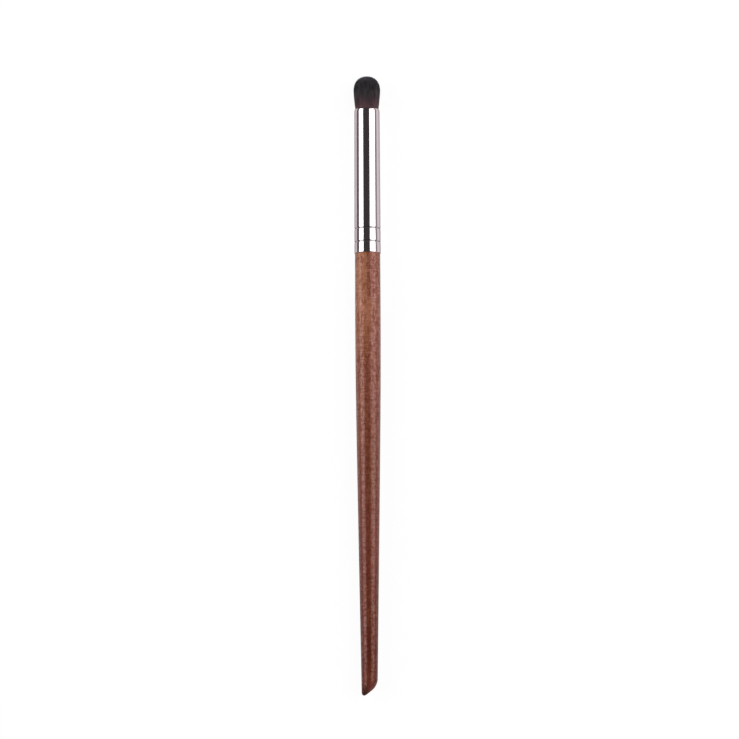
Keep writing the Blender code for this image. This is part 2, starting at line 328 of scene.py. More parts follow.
start_afresh()
bpy.ops.mesh.primitive_plane_add(size=FLOOR_SIDE)
floor = bpy.context.object
floor.name = "floor"
paper, shader, strand = new_material("white_paper")
shader.inputs["Base Color"].default_value = PAPER_WHITE
shader.inputs["Roughness"].default_value = PAPER_ROUGHNESS
shader.inputs["Specular IOR Level"].default_value = 0
glow = strand.node("ShaderNodeEmission", None, {"Strength": FLOOR_GLOW})
lit = Strand(strand.tree, shader.outputs[0])
camera_ray = strand.node("ShaderNodeLightPath", output="Is Camera Ray")
white_share = white_rays(strand) * REFLECTED_WHITE_SHARE
white_share += camera_ray * (FLOOR_WHITE_SHARE - REFLECTED_WHITE_SHARE)
mixed = strand.node("ShaderNodeMixShader", None, {0: white_share, 1: lit, 2: glow})
strand.tree.links.new(mixed.socket, strand.tree.nodes["Material Output"].inputs["Surface"])
give(floor, paper)

# %% The room: white to the camera, a dim even fill to the brush
FILL = 0.1

room = bpy.data.worlds.new("room")
bpy.context.scene.world = room
room.use_nodes = True
strand = Strand(room.node_tree)
strength = white_rays(strand) * (1 - FILL) + FILL
strand.tree.links.new(strength.socket, room.node_tree.nodes["Background"].inputs["Strength"])
room.node_tree.nodes["Background"].inputs["Color"].default_value = (1, 1, 1, 1)
print("room: white to the camera, fill", FILL)

# %% [markdown]
# The dark parts of the ferrule are dark cards, as a photographer puts round a shiny thing. One
# hangs above the gap between the soft boxes, two low ones stand beside the brush, and two large
# ones stand beyond its ends, for the rolled lip and the crimp rings. They show in reflections
# only: the camera doesn't see them, and they cast no shadow.

# %% Five cards for the dark reflections
CARD_TINT = (1, 0.97, 0.98, 1)
CARD_LENGTH = 6
CARD_THICKNESS = 0.0002
OVERHEAD_HEIGHT = 0.95
OVERHEAD_SPAN = (-0.75, 0.6)
OVERHEAD_LEVEL = 0.043
# A low card's place across, its height and its level
LEFT_CARD = (-0.021, 0.0110, 0.13)
RIGHT_CARD = (0.060, 0.025, 0.29)
END_CARDS = (-0.9, 1.2)
END_CARD_SIZE = 3
END_CARD_LEVEL = 0.12


def add_card(name, level, place, size):
    """A thin card that only reflections show, with its size across, along and up."""
    start_afresh()
    bpy.ops.mesh.primitive_cube_add(size=1, location=place)
    card = bpy.context.object
    card.name = name
    bpy.ops.object.mode_set(mode="EDIT")
    bpy.ops.transform.resize(value=size)
    bpy.ops.object.mode_set(mode="OBJECT")
    material, shader, _ = new_material(name)
    shader.inputs["Base Color"].default_value = (0, 0, 0, 1)
    shader.inputs["Specular IOR Level"].default_value = 0
    shader.inputs["Emission Color"].default_value = CARD_TINT
    shader.inputs["Emission Strength"].default_value = level
    give(card, material)
    card.visible_camera = False
    card.visible_diffuse = False
    card.visible_shadow = False
    card.visible_transmission = False


overhead_place = (sum(OVERHEAD_SPAN) / 2, BOX_MIDDLE, OVERHEAD_HEIGHT)
overhead_size = (OVERHEAD_SPAN[1] - OVERHEAD_SPAN[0], CARD_LENGTH, CARD_THICKNESS)
add_card("overhead_card", OVERHEAD_LEVEL, overhead_place, overhead_size)
for name, (across, height, level) in (("left_card", LEFT_CARD), ("right_card", RIGHT_CARD)):
    card_place = (across, BOX_MIDDLE, height / 2)
    add_card(name, level, card_place, (CARD_THICKNESS, CARD_LENGTH, height))
for name, along in zip(("near_end_card", "far_end_card"), END_CARDS):
    card_place = (0, along, END_CARD_SIZE / 2)
    add_card(name, END_CARD_LEVEL, card_place, (END_CARD_SIZE, CARD_THICKNESS, END_CARD_SIZE))

# %% [markdown]
# ## Turning on the lathe
#
# The ferrule and the handle are both turned shapes. A Screw modifier or Spin would turn a profile.
# Here a circle is extruded ring by ring and scaled to each radius, which is the same work, and each
# ring stays in the order of the profile, so a ring can be picked out again.
#
# The CAD pieces have 32 flat sides and lie on a flat. These rounder ones are drawn just inside
# those flats, so that they rest on the table at the same height and stay in the CAD model's box.

# %% A lathe made of extrusions
SIDES = 128
CAD_SIDES = 32
FLAT_SHARE = cos(pi / CAD_SIDES)
MERGE_DISTANCE = 0.000001
SHARP_ANGLE = radians(35)


def turn_piece(name, profile):
    """Turn a profile of (radius, height) points about Z, from its first point to its last."""
    start_afresh()
    radius, height = profile[0]
    bpy.ops.mesh.primitive_circle_add(vertices=SIDES, radius=radius, location=(0, 0, height))
    piece = bpy.context.object
    piece.name = name
    bpy.ops.object.mode_set(mode="EDIT")
    bpy.ops.mesh.select_all(action="SELECT")
    for next_radius, next_height in profile[1:]:
        rise = (0, 0, next_height - height)
        bpy.ops.mesh.extrude_edges_move(TRANSFORM_OT_translate={"value": rise})
        share = next_radius / radius
        bpy.ops.transform.resize(value=(share, share, 1), center_override=(0, 0, next_height))
        radius, height = next_radius, next_height
    bpy.ops.object.mode_set(mode="OBJECT")
    bpy.ops.object.transform_apply(location=True, rotation=True, scale=True)
    return piece


def close_ends():
    """Fill the open rings at both ends of the piece that is being edited."""
    bpy.ops.mesh.select_all(action="DESELECT")
    bpy.ops.mesh.select_non_manifold()
    bpy.ops.mesh.edge_face_add()
    bpy.ops.mesh.select_all(action="SELECT")


def finish_mesh():
    """Turn the faces outwards, leave edit mode and shade all but the sharp edges smooth."""
    bpy.ops.mesh.normals_make_consistent(inside=False)
    bpy.ops.object.mode_set(mode="OBJECT")
    bpy.ops.object.shade_smooth_by_angle(angle=SHARP_ANGLE)


# %% [markdown]
# ## The ferrule
#
# On the real brush a ferrule is a drawn tube of thin brass, plated with nickel. Its mouth is rolled
# in a little to grip the hair, and two rings near its base are pressed into the wood of the tenon.
# The rings could be bumps in its material, but then its edge would stay straight. A turned outline
# gives all of that, with many rings where it curves.

# %% The ferrule's radius at each height
BASE_RADIUS = 0.0039
MOUTH_RADIUS = 0.00374
CRIMPS = (0.0033, 0.0073)
CRIMP_WIDTH = 0.0007
CRIMP_DEPTH = 0.00012
CRIMP_STEPS = 14


def crimp_dip(height):
    """How far the crimp rings press the tube in at this height."""
    reaches = [(height - ring) / (CRIMP_WIDTH / 2) for ring in CRIMPS]
    return sum(CRIMP_DEPTH * (1 + cos(pi * reach)) / 2 for reach in reaches if abs(reach) < 1)


def tube_radius(height):
    """The ferrule's outer radius below its lip, just inside the CAD tube's flats."""
    cone = BASE_RADIUS + (MOUTH_RADIUS - BASE_RADIUS) * height / FERRULE_LENGTH
    return (cone - crimp_dip(height)) * FLAT_SHARE


def crimp_heights():
    """Heights across both crimp rings, from the base up."""
    spread = [(2 * i / CRIMP_STEPS - 1) * CRIMP_WIDTH / 2 for i in range(CRIMP_STEPS + 1)]
    return [ring + step for ring in CRIMPS for step in spread]


print("tube at its base", in_mm(tube_radius(0) * 2), "mm across")

# %% The ferrule's outline, up its outside and down its inside
WALL = 0.0003
LIP_LENGTH = 0.0008
LIP_DRAW = 0.00014
LIP_STEPS = 10
EDGE_ROUND = 0.00006

sweep = 2 * atan(LIP_DRAW / LIP_LENGTH)
arc_radius = LIP_LENGTH / sin(sweep)
foot = FERRULE_LENGTH - LIP_LENGTH
outside = [(tube_radius(0) - EDGE_ROUND, 0), (tube_radius(0), EDGE_ROUND)]
outside += [(tube_radius(height), height) for height in crimp_heights()]
inner_lip = []
for i in range(LIP_STEPS + 1):
    angle = sweep * i / LIP_STEPS
    radius = tube_radius(foot) - arc_radius * (1 - cos(angle))
    height = foot + arc_radius * sin(angle)
    outside.append((radius, height))
    inner_lip.append((radius - WALL * cos(angle), height - WALL * sin(angle)))
inside = inner_lip[::-1]
inside += [(tube_radius(height) - WALL, height) for height in reversed(crimp_heights())]
inside.append((tube_radius(0) - WALL, 0))
print("mouth's opening", in_mm(inside[0][0] * 2), "mm across")

# %% Turn the ferrule and close its wall
ferrule = turn_piece("plated_ferrule", outside + inside + outside[:1])
choose(ferrule)
bpy.ops.object.mode_set(mode="EDIT")
bpy.ops.mesh.select_all(action="SELECT")
bpy.ops.mesh.remove_doubles(threshold=MERGE_DISTANCE)
finish_mesh()
lay_on_line(ferrule)
print("ferrule:", len(ferrule.data.polygons), "faces")

# %% [markdown]
# Polished nickel is nearly a mirror, with a slightly warm, pinkish grey of its own. A plain mirror
# would give that, but what makes it real are the things that aren't perfect: faint lines round the
# tube from polishing and a soft cloud of handling marks in its roughness. A little grey is painted
# at the bottom of the crimp rings as well: painted shade in the grooves.

# %% Polished nickel
NICKEL = (0.86, 0.735, 0.763)
NICKEL_DULL = (0.64, 0.55, 0.567)
NICKEL_TINT = (0.55, 0.5, 0.51, 1)
GROOVE_SHADE = (0.39, 0.375, 0.37)
GROOVE_CORE = 0.0001
GROOVE_REACH = 0.00032

nickel, shader, strand = new_material("polished_nickel")
shader.inputs["Metallic"].default_value = 1
shader.inputs["Specular Tint"].default_value = NICKEL_TINT
clouds = noise(strand, (700, 220, 700), 3.0)
polish_lines = noise(strand, (60, 26000, 60), 2.0)
along = axes_of(strand)[1]
groove = [band(strand, along, seam.y + ring, GROOVE_CORE, GROOVE_REACH) for ring in CRIMPS]
colour = mix_colours(strand, steps(strand, clouds, 0.5, 0.8) * 0.12, NICKEL, NICKEL_DULL)
# Painted shade: the colour turns grey at the bottom of the crimp grooves.
colour = mix_colours(strand, (groove[0] + groove[1]) * 0.9, colour, GROOVE_SHADE)
feed(shader, "Base Color", colour)
feed(shader, "Roughness", clouds * 0.05 + polish_lines * 0.03 + 0.035)
add_bump(shader, polish_lines * 0.3 + clouds * 0.3, strength=0.02, distance=0.00002)
give(ferrule, nickel)

# %% [markdown]
# ## The handle
#
# The real handle is turned from one dowel: a tenon that goes into the ferrule, a crisp shoulder,
# a long side that swells very slightly and then tapers, and an end cut on a slant and sanded round.
# The side could be two straight cones, but they would meet in a line. A cubic Bezier gives it one
# smooth sweep.

# %% The handle's side and its tenon
STEP_IN = 0.00015
HANDLE_LENGTH = 0.13245
HANDLE_SWELL = 0.0001
SWELL_SHARE = 0.28
HANDLE_END_RADIUS = 0.00232
SEAM_GAP = 0.0001
SHOULDER_ROUND = 0.00012
SIDE_STEPS = 60
END_CLEAR = 0.0072
TENON_LENGTH = 0.016
TENON_CHAMFER = 0.0006
GLUE_ROOM = 0.00025


def tenon_radius(height):
    """The tenon's radius, inside the ferrule's wall and the glue."""
    return tube_radius(height) - WALL - GLUE_ROOM


shoulder = (BASE_RADIUS - STEP_IN) * FLAT_SHARE
start = Vector((shoulder, -SEAM_GAP - SHOULDER_ROUND))
swell = Vector((shoulder + HANDLE_SWELL, -HANDLE_LENGTH * SWELL_SHARE))
end = Vector((HANDLE_END_RADIUS * FLAT_SHARE, -HANDLE_LENGTH))
curve = interpolate_bezier(start, swell, swell, end, SIDE_STEPS)
side = [(point.x, point.y) for point in curve if point.y > END_CLEAR - HANDLE_LENGTH]
tenon = [(tenon_radius(TENON_LENGTH) - TENON_CHAMFER, TENON_LENGTH)]
tenon.append((tenon_radius(TENON_LENGTH - TENON_CHAMFER), TENON_LENGTH - TENON_CHAMFER))
tenon += [(tenon_radius(height), height) for height in reversed(crimp_heights())]
tenon.append((tenon_radius(0), -SEAM_GAP))
print("side:", len(side), "points, tenon:", len(tenon), "points")

# %% The rounded shoulder, and an end that the cut will shorten
SHOULDER_STEPS = 5
END_OVERRUN = 0.0025

rounding = []
for i in range(SHOULDER_STEPS):
    angle = pi / 2 * i / SHOULDER_STEPS
    radius = shoulder - SHOULDER_ROUND * (1 - sin(angle))
    rounding.append((radius, start.y + SHOULDER_ROUND * cos(angle)))
last_radius, last_height = side[-1]
end_slope = (last_radius - end.x) / (last_height + HANDLE_LENGTH)
overrun = (end.x - end_slope * END_OVERRUN, -HANDLE_LENGTH - END_OVERRUN)
handle_outline = tenon + rounding + side + [overrun]
print("handle's outline:", len(handle_outline), "points")

# %% [markdown]
# The slanted end can't be turned, because it isn't round about the handle's axis. A Boolean could
# take it off. Bisect needs no second piece: it cuts as a saw would, and fills the cut. The cut's
# rim is bevelled with enough segments to read as sanded by hand.

# %% Turn the handle and cut its end on a slant
END_SLANT = radians(39)
END_ROUND = 0.0018
END_ROUND_STEPS = 8
SAME_WAY = 0.999


def pick_faces(piece, wanted):
    """Select the faces that a test picks out, and stay in edit mode with them."""
    bpy.ops.mesh.select_mode(type="FACE")
    bpy.ops.mesh.select_all(action="DESELECT")
    bpy.ops.object.mode_set(mode="OBJECT")
    for face in piece.data.polygons:
        face.select = wanted(face)
    bpy.ops.object.mode_set(mode="EDIT")
    print(piece.name, "faces picked:", piece.data.total_face_sel)


def is_the_cut(face):
    """Whether a face is the one that the saw left."""
    return len(face.vertices) == SIDES and face.normal.dot(outward) > SAME_WAY


handle = turn_piece("lacquered_handle", handle_outline)
choose(handle)
bpy.ops.object.mode_set(mode="EDIT")
close_ends()
outward = Vector((sin(END_SLANT), 0, -cos(END_SLANT)))
nose = (-HANDLE_END_RADIUS * FLAT_SHARE, 0, -HANDLE_LENGTH)
bpy.ops.mesh.bisect(plane_co=nose, plane_no=outward, use_fill=True, clear_outer=True)
bpy.ops.mesh.select_all(action="SELECT")
bpy.ops.mesh.normals_make_consistent(inside=False)
pick_faces(handle, is_the_cut)
bpy.ops.mesh.region_to_loop()
bpy.ops.mesh.bevel(
    offset=END_ROUND, segments=END_ROUND_STEPS, profile=0.5, affect="EDGES", clamp_overlap=True
)
bpy.ops.mesh.select_all(action="SELECT")
bpy.ops.mesh.remove_doubles(threshold=MERGE_DISTANCE)
finish_mesh()
lay_on_line(handle)
lowest = min(corner.co.z for corner in handle.data.vertices)
print("handle:", len(handle.data.polygons), "faces, lowest at", in_mm(lowest), "mm")

# %% [markdown]
# The wood is a reddish brown under clear satin lacquer, light at the ferrule and nearly maroon at
# the end. A picture of wood could be wrapped round it, but it would bring its own light and a seam.
# So a ramp along the brush gives the ground colour, and noise gives the figure. Most patterns are
# drawn out along Y, as grain is: broad streaks, fine fibres, dark pores, and short dark flecks that
# are strongest near the ferrule. Two others don't follow it: faint rungs across the grain, as on
# figured wood, and fine specks.

# %% The wood's ground colour and its patterns
WOOD_STOPS = (
    (0.0, (0.475, 0.212, 0.116)),
    (0.13, (0.548, 0.234, 0.134)),
    (0.26, (0.335, 0.124, 0.078)),
    (0.44, (0.225, 0.080, 0.040)),
    (0.66, (0.185, 0.053, 0.033)),
    (0.83, (0.130, 0.035, 0.016)),
    (0.93, (0.070, 0.010, 0.005)),
    (0.975, (0.090, 0.014, 0.010)),
    (1.0, (0.055, 0.040, 0.036)),
)
# Shares of the handle's length, from the seam
FERRULE_FADE = (0.12, 0.6)
END_FADE = (0.6, 0.85)

wood, shader, strand = new_material("lacquered_wood")
across, along, up = axes_of(strand)
run = (seam.y - along) / HANDLE_LENGTH
ground = strand.node("ShaderNodeValToRGB", {"stops": WOOD_STOPS}, {0: run})
near_ferrule = 1 - steps(strand, run, *FERRULE_FADE)
near_end = steps(strand, run, *END_FADE)
# Each pattern's scale along X, Y and Z, then its detail and its roughness
streaks = noise(strand, (650, 28, 650), 3.0, 0.55)
fibres = noise(strand, (3600, 130, 3600), 2.0, 0.6)
pores = noise(strand, (3300, 700, 3300), 1.0)
flecks = noise(strand, (1500, 480, 1500), 2.0, 0.6)
patches = noise(strand, (420, 110, 420), 2.0)
rungs = noise(strand, (520, 2300, 520), 2.0, 0.6)
grit = noise(strand, (1500, 1150, 1500), 2.0, 0.7)
fleck_share = steps(strand, flecks, 0.52, 0.62) * (near_ferrule * 0.5 + 0.5)
rung_share = steps(strand, rungs, 0.47, 0.6)
specks = steps(strand, grit, 0.44, 0.62)
print("wood:", len(WOOD_STOPS), "colours along its ramp")

# %% [markdown]
# The two sides, where the soft boxes' highlights fall, are painted paler and pinker than the middle
# with a second ramp: a painted sheen, stronger on the left, with mauve on the right near the
# ferrule.
# The dark marks could have a colour of their own. Here they are the wood's colour so far, multiplied
# by a shade, so they stay in tune with it along the whole handle.

# %% Painted sheen on the sides, amber patches and dark marks
SIDE_SHEEN_STOPS = (
    (0.0, (0.540, 0.265, 0.172)),
    (0.3, (0.360, 0.172, 0.138)),
    (0.55, (0.220, 0.082, 0.080)),
    (0.83, (0.150, 0.052, 0.066)),
    (1.0, (0.080, 0.035, 0.045)),
)
ROSE = (0.26, 0.066, 0.042)
MAUVE_SHEEN = (0.370, 0.122, 0.140)
AMBER = (0.36, 0.14, 0.05)
SHADE = (0.42, 0.32, 0.26)
# Metres from the handle's middle
PINK_SHEEN_SIDE = (-0.001, 0.0028)
LEFT_SHEEN = (-0.0001, 0.0018)
RIGHT_SHEEN = (0.001, 0.0024)

# Painted sheen: pinker and mauve on the right, where the right soft box's highlight falls.
pink_sheen_side = steps(strand, across, *PINK_SHEEN_SIDE)
rose_share = steps(strand, streaks, 0.42, 0.62) * (pink_sheen_side * 0.4 + 0.3)
colour = mix_colours(strand, rose_share, ground, ROSE)
colour = mix_colours(strand, pink_sheen_side * near_ferrule * 0.5, colour, MAUVE_SHEEN)
# Painted sheen: a paler ramp on both sides, where the soft boxes' highlights fall.
side_sheen = strand.node("ShaderNodeValToRGB", {"stops": SIDE_SHEEN_STOPS}, {0: run})
left_sheen = steps(strand, across * -1, *LEFT_SHEEN) * 0.36
right_sheen = steps(strand, across, *RIGHT_SHEEN) * 0.2
colour = mix_colours(strand, left_sheen + right_sheen, colour, side_sheen)
amber_share = steps(strand, patches, 0.48, 0.6) * (near_ferrule * 0.5 + 0.2)
colour = mix_colours(strand, amber_share * (1 - pink_sheen_side * 0.7), colour, AMBER)
dark = mix_colours(strand, 1.0, colour, SHADE, "MULTIPLY")
dark_marks = (
    fleck_share,
    steps(strand, pores, 0.55, 0.68) * 0.6,
    rung_share * 0.6,
    specks * (near_end * 0.2 + 0.45),
    steps(strand, fibres, 0.35, 0.75) * 0.3,
)
for share in dark_marks:
    colour = mix_colours(strand, share, colour, dark)
print("wood:", len(dark_marks), "kinds of dark marks")

# %% [markdown]
# On top, near the ferrule, the wood gets marks that noise alone wouldn't put there: a pale streak
# that is a painted highlight of the left soft box, a tan band that is painted sheen spreading from
# it towards the middle, and a dark vein that wanders and turns amber. Each is a band at its own
# place across, and the flecks and specks break it up.

# %% A painted highlight streak, a painted tan sheen and a dark vein
TAN_SHEEN_COLOUR = (0.495, 0.232, 0.146)
PEACH_HIGHLIGHT = (0.720, 0.400, 0.260)
BRIGHT_AMBER = (0.500, 0.210, 0.090)
# Shares of the handle's length, from the seam
MARKS_FADE = (0.1, 0.24)
AMBER_START = (0.095, 0.12)
# A band's middle across the handle, its core and its reach, in metres
TAN_SHEEN_BAND = (-0.0008, 0.0003, 0.00065)
HIGHLIGHT_STREAK_BAND = (-0.0024, 0.00015, 0.0005)
VEIN_BAND = (0.00005, 0.0001, 0.0006)
TOP_RISE = 0.001
WANDER = 0.0009

top_of_seam = steps(strand, up, seam.z, seam.z + TOP_RISE) * (1 - steps(strand, run, *MARKS_FADE))
wander = (patches - 0.5) * WANDER
# Painted light: the tan band and the pale streak are the left soft box's highlight, painted in.
tan_sheen = band(strand, across + wander * 0.4, *TAN_SHEEN_BAND) * top_of_seam
highlight_streak = band(strand, across, *HIGHLIGHT_STREAK_BAND) * top_of_seam
vein = band(strand, across + wander, *VEIN_BAND) * top_of_seam
amber_end = steps(strand, run, *AMBER_START)
colour = mix_colours(strand, tan_sheen * 0.5, colour, TAN_SHEEN_COLOUR)
colour = mix_colours(strand, highlight_streak * 0.35, colour, PEACH_HIGHLIGHT)
marks = (tan_sheen + highlight_streak) * (fleck_share * 0.4 + specks * 0.2)
colour = mix_colours(strand, marks, colour, dark)
spots = specks * 0.5 + fleck_share * 0.2 + 0.12
colour = mix_colours(strand, vein * (1 - amber_end) * spots, colour, dark)
colour = mix_colours(strand, vein * amber_end * 0.5, colour, BRIGHT_AMBER)
print("wood: marks down to", in_mm(MARKS_FADE[1] * HANDLE_LENGTH), "mm from the seam")

# %% [markdown]
# The tenon was never lacquered, so it is bare, pale wood. The slanted end is sanded, so it is
# duller than the rest and lighter on its face; its nose is darkened with painted shade. They could
# be pieces of their own, but a change of colour at the right place keeps the wood whole.

# %% The bare tenon, the sanded end and painted shade at its nose
BARE_WOOD = (0.42, 0.25, 0.13)
BARE_START = (seam.y - 0.0003, seam.y + 0.0002)
SANDED_LIGHT = (0.300, 0.095, 0.085)
NOSE_SHADE = (0.035, 0.024, 0.022)
SANDED_START = (0.962, 0.985)
SLANT_SIDE = (-0.0014, 0.0006)

bare = steps(strand, along, *BARE_START)
colour = mix_colours(strand, bare, colour, BARE_WOOD)
sanded = steps(strand, run, *SANDED_START)
slant_side = steps(strand, across, *SLANT_SIDE)
colour = mix_colours(strand, sanded * slant_side * 0.5, colour, SANDED_LIGHT)
# Painted shade: darker at the end's nose.
colour = mix_colours(strand, sanded * (1 - slant_side) * 0.5, colour, NOSE_SHADE)
feed(shader, "Base Color", colour)
feed(shader, "Roughness", fibres * 0.2 + 0.4 + sanded * 0.3)
print("wood: sanded from", in_mm(SANDED_START[0] * HANDLE_LENGTH), "mm on")

# %% [markdown]
# The lacquer is a clear layer over the wood, which the shader calls its coat. It could be even. A
# real one is thinner towards the end, is rubbed along a band near the ferrule, and is broken by the
# flecks, specks and rungs, which keeps its highlights from looking like plastic.

# %% Satin lacquer over the wood
RUBBED_BAND = (-0.0016, 0.0003, 0.0006)
THINNER_START = (0.5, 0.97)
COAT_ROUGHNESS = 0.2
WOOD_TINT = (1, 0.2, 0.1, 1)

broken = (near_end * 0.25 + 1.25 - specks * (near_end * 0.55 + 0.7)) * (1 - rung_share * 0.4)
thinner = 1 - steps(strand, run, *THINNER_START) * 0.35
rubbed = band(strand, across, *RUBBED_BAND) * top_of_seam
coat = (1 - bare) * (0.85 - fleck_share * 0.35 - fibres * 0.2) * broken * thinner
feed(shader, "Coat Weight", coat * (1 - sanded * 0.85) * (1 - rubbed * 0.5))
shader.inputs["Coat Roughness"].default_value = COAT_ROUGHNESS
shader.inputs["Specular IOR Level"].default_value = 0.9
shader.inputs["Specular Tint"].default_value = WOOD_TINT
ripple = noise(strand, (1300, 1700, 1300), 1.0)
relief = fibres * 0.5 + ripple * 2 + rungs * 2.5 + grit - fleck_share * 0.4
add_bump(shader, relief, strength=0.8, distance=0.00005)
give(handle, wood)

# %% [markdown]
# ## The hair
#
# The tuft is several thousand soft hairs, packed tight where the ferrule grips them. They spread to
# a belly a little wider than the ferrule and end in a dome. Blender's hair would render well but
# has no mesh of its own. So one hair is made ring by ring: a three-sided tube that thins to a point.

# %% One hair, made ring by ring
HAIR_RADIUS = 0.000055
HAIR_SIDES = 3
# Rings as shares of the hair's length and of its thickness
HAIR_FOOT = ((0.0, 1.0), (0.12, 1.0), (0.2, 1.0), (0.4, 1.0))
HAIR_TIP = ((0.6, 1.0), (0.78, 0.95), (0.93, 0.7), (1.0, 0.5))

start_afresh()
bpy.ops.mesh.primitive_circle_add(vertices=HAIR_SIDES, radius=HAIR_RADIUS, location=(0, 0, 0))
one_hair = bpy.context.object
bpy.ops.object.mode_set(mode="EDIT")
bpy.ops.mesh.select_all(action="SELECT")
place, thickness = HAIR_FOOT[0]
for next_place, next_thickness in HAIR_FOOT[1:] + HAIR_TIP:
    rise = (0, 0, next_place - place)
    bpy.ops.mesh.extrude_edges_move(TRANSFORM_OT_translate={"value": rise})
    share = next_thickness / thickness
    bpy.ops.transform.resize(value=(share, share, 1), center_override=(0, 0, next_place))
    place, thickness = next_place, next_thickness
bpy.ops.mesh.merge(type="CENTER")
bpy.ops.object.mode_set(mode="OBJECT")
hair_points = np.array([list(point.co) for point in one_hair.data.vertices])
hair_faces = [list(face.vertices) for face in one_hair.data.polygons]
bpy.data.objects.remove(one_hair)
print("one hair:", len(hair_points), "points,", len(hair_faces), "faces")

# %% [markdown]
# Thousands of operator calls would take many minutes, so the copies are bent into place with
# arrays. The roots are spread like the seeds of a sunflower, which fills a round evenly. Each hair
# then follows the tuft's fan outwards and stops where it meets the dome.

# %% The shape that the hairs fill
MOUTH_REACH = 0.00323
BULGE_HEIGHT = 0.0003
BULGE_REACH = 0.00345
BELLY_HEIGHT = 0.0058
BELLY_REACH = 0.00393
BELLY_EASE = 0.15
TUFT_HEIGHT = 0.0101
DOME_POWER = 2.3
INWARD = 0.0001


def fan_reach(lift):
    """Radius of the tuft at a height above the ferrule's mouth."""
    rise = np.clip(lift / BULGE_HEIGHT, 0, 1)
    reach = MOUTH_REACH + (BULGE_REACH - MOUTH_REACH) * rise * (2 - rise)
    spread = np.clip((lift - BULGE_HEIGHT) / (BELLY_HEIGHT - BULGE_HEIGHT), 0, 1)
    eased = (1 + BELLY_EASE) * spread - BELLY_EASE * spread**4
    above = np.clip((lift - BELLY_HEIGHT) / (TUFT_HEIGHT - BELLY_HEIGHT), 0, 1)
    return reach + (BELLY_REACH - BULGE_REACH) * eased - INWARD * above**2


def dome_lift(share):
    """Height of the dome above the mouth, at a share of the belly's radius."""
    rise = (1 - np.clip(share, 0, 1) ** DOME_POWER) ** (1 / DOME_POWER)
    return BELLY_HEIGHT + (TUFT_HEIGHT - BELLY_HEIGHT) * rise


print("tuft:", in_mm(TUFT_HEIGHT), "mm high,", in_mm(BELLY_REACH * 2), "mm across its belly")

# %% A root, a length and a little disorder for each hair
HAIR_COUNT = 4900
GOLDEN_ANGLE = pi * (3 - 5**0.5)
DOME_ROUNDS = 6
SEED = 7
TIP_SPREAD = 0.00009
SHARE_SPREAD = 0.006
ANGLE_SPREAD = 0.012

chance = np.random.default_rng(SEED)
index = np.arange(HAIR_COUNT)
root_share = np.sqrt((index + 0.5) / HAIR_COUNT)
root_angle = index * GOLDEN_ANGLE
tip_lift = dome_lift(root_share)
for _ in range(DOME_ROUNDS):
    tip_lift = dome_lift(root_share * fan_reach(tip_lift) / BELLY_REACH)
tip_lift = tip_lift - np.abs(chance.normal(0, TIP_SPREAD, HAIR_COUNT))
share_drift = chance.normal(0, SHARE_SPREAD, HAIR_COUNT)
angle_drift = chance.normal(0, ANGLE_SPREAD, HAIR_COUNT)
twist = chance.uniform(0, 2 * pi, HAIR_COUNT)
print("hairs end", in_mm(tip_lift.min()), "to", in_mm(tip_lift.max()), "mm above the mouth")

# %% Bend a copy of the hair for each root
ROOT_DEPTH = 0.0014

share_along = hair_points[:, 2]
lift = -ROOT_DEPTH + share_along[None, :] * (tip_lift[:, None] + ROOT_DEPTH)
way = np.clip(lift / TUFT_HEIGHT, 0, 1)
share = np.minimum(root_share[:, None] + share_drift[:, None] * way, 1)
angle = root_angle[:, None] + angle_drift[:, None] * way
reach = share * fan_reach(lift)
hair_x, hair_y = hair_points[:, 0], hair_points[:, 1]
cos_twist, sin_twist = np.cos(twist)[:, None], np.sin(twist)[:, None]
points = np.stack(
    (
        reach * np.cos(angle) + hair_x * cos_twist - hair_y * sin_twist,
        reach * np.sin(angle) + hair_x * sin_twist + hair_y * cos_twist,
        FERRULE_LENGTH + lift,
    ),
    axis=2,
)
firsts = range(0, HAIR_COUNT * len(hair_points), len(hair_points))
faces = [[corner + first for corner in face] for first in firsts for face in hair_faces]
tuft_mesh = bpy.data.meshes.new("hair_tuft")
tuft_mesh.from_pydata(points.reshape(-1, 3), [], faces)
tuft = bpy.data.objects.new("hair_tuft", tuft_mesh)
bpy.context.scene.collection.objects.link(tuft)
print("tuft:", HAIR_COUNT, "hairs,", sum(len(face) - 2 for face in faces), "triangles")

# %% [markdown]
# Each hair has its own tone, and they are browner near their roots. Noise in the material could
# vary the tone too, but it would cut across the hairs. So both are kept as attributes on the mesh,
# which a material can read, and a tone follows its hair along its whole length.

# %% Tones for the hairs
tone = np.repeat(chance.uniform(0, 1, HAIR_COUNT), len(hair_points))
height_above = np.clip(lift / TUFT_HEIGHT, 0, 1).reshape(-1)
for name, values in (("tone", tone), ("height_above", height_above)):
    attribute = tuft_mesh.attributes.new(name, "FLOAT", "POINT")
    attribute.data.foreach_set("value", values.astype(np.float32))
choose(tuft)
bpy.ops.object.mode_set(mode="EDIT")
bpy.ops.mesh.select_all(action="SELECT")
bpy.ops.mesh.normals_make_consistent(inside=False)
bpy.ops.object.mode_set(mode="OBJECT")
bpy.ops.object.shade_smooth()
print("tones:", len(tone), "points")

# %% [markdown]
# The roots are set in resin before the brush is put together, so the hairs stand on a slice of it,
# down inside the ferrule. It is hardly seen. Without it, though, one could look between the hairs
# into an empty tube. It is turned like the other pieces and joined to the hairs.

# %% The slice of set roots that the hairs stand on
SLICE_TOP = FERRULE_LENGTH - 0.001
SLICE_BOTTOM = FERRULE_LENGTH - 0.0021
SLICE_EDGE = 0.0003
SLICE_CLEAR = 0.00006

